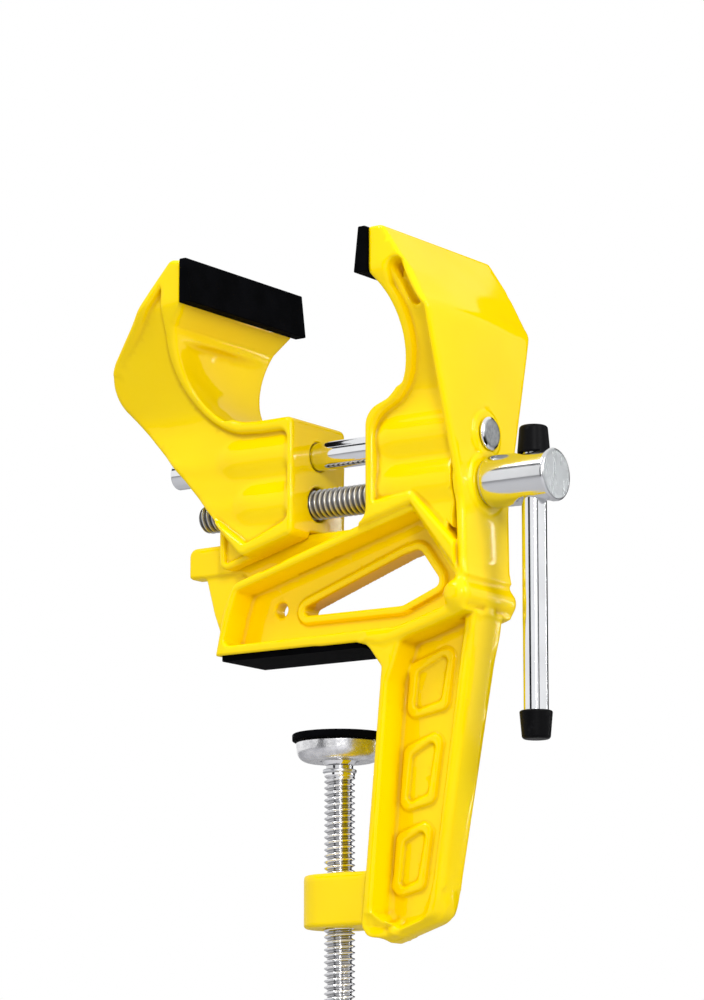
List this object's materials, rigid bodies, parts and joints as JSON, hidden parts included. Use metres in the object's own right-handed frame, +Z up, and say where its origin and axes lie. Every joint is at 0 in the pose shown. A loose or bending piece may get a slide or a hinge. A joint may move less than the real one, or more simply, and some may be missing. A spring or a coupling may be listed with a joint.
{
  "type": "ski tuning vise",
  "caption": "Table-edge vise with a fixed and a screw-driven sliding jaw, rubber-padded for a ski, and a leg with a clamp screw that grips the table from below.",
  "frame": {"origin": "middle of the foot's rubber face, where it rests on the table", "axes": "+Z up, +X from the sliding jaw to the turning handle, Y = 0 is the mid-plane"},
  "size_m": [0.164, 0.1, 0.2777],
  "materials": {
    "yellow_casting": "high gloss yellow paint over a casting",
    "rubber": "matt black rubber",
    "rod_chrome": "polished",
    "head_chrome": "satin chrome",
    "cap_chrome": "pressed and plated",
    "rolled_steel": "rolled thread, oiled",
    "zinc_steel": "zinc plated",
    "bearing_bronze": "turned",
    "cap_plastic": "black, softly glossy"
  },
  "bodies": {
    "frame": {"frame_casting": "yellow_casting", "foot_pad": "rubber", "fixed_jaw_pad": "rubber", "guide_rod": "rod_chrome"},
    "jaw": {"sliding_jaw": "yellow_casting", "sliding_jaw_pad": "rubber", "jaw_nut": "bearing_bronze", "front_bush": "bearing_bronze", "rear_bush": "bearing_bronze"},
    "lead": {"lead_screw": "rolled_steel", "lead_screw_head": "head_chrome", "lead_head_pin": "zinc_steel", "thrust_washer": "zinc_steel", "keeper_ring": "zinc_steel"},
    "upper_handle": {"upper_bar": "rod_chrome", "upper_bar_top_cap": "cap_plastic", "upper_bar_bottom_cap": "cap_plastic"},
    "clamp_carrier": {"ball_washer": "zinc_steel"},
    "clamp": {"clamp_screw": "zinc_steel", "clamp_screw_head": "head_chrome", "clamp_head_pin": "zinc_steel"},
    "lower_handle": {"lower_bar": "rod_chrome", "lower_bar_left_cap": "cap_plastic", "lower_bar_right_cap": "cap_plastic"},
    "swivel": {"swivel_cap": "cap_chrome", "clamp_disc": "rubber"}
  },
  "joints": [
    {"name": "screw_turn", "type": "hinge", "parent": "frame", "child": "lead", "pos_m": [0.03, 0, 0.051], "axis": [-1, 0, 0], "range_deg": [-5040, 4140]},
    {"name": "jaw_slide", "type": "slide", "parent": "frame", "child": "jaw", "axis": [1, 0, 0], "range_m": [-0.028, 0.023]},
    {"name": "upper_bar_slide", "type": "slide", "parent": "lead", "child": "upper_handle", "axis": [0, 0, 1], "range_m": [0, 0.0669]},
    {"name": "clamp_travel", "type": "slide", "parent": "frame", "child": "clamp_carrier", "axis": [0, 0, 1], "range_m": [-0.032, 0.0235]},
    {"name": "clamp_turn", "type": "hinge", "parent": "clamp_carrier", "child": "clamp", "pos_m": [0.0109, 0, -0.08], "axis": [0, 0, 1], "range_deg": [-5760, 4230]},
    {"name": "swivel_tilt", "type": "hinge", "parent": "clamp_carrier", "child": "swivel", "pos_m": [0.0109, 0, -0.0316], "axis": [0, 1, 0], "range_deg": [-6, 6]},
    {"name": "lower_bar_slide", "type": "slide", "parent": "clamp", "child": "lower_handle", "axis": [0, 1, 0], "range_m": [-0.0334, 0.0334]}
  ],
  "couplings": [
    {"joint": "jaw_slide", "follows": "screw_turn", "m_per_rad": 0.0003183},
    {"joint": "clamp_travel", "follows": "clamp_turn", "m_per_rad": 0.0003183}
  ]
}
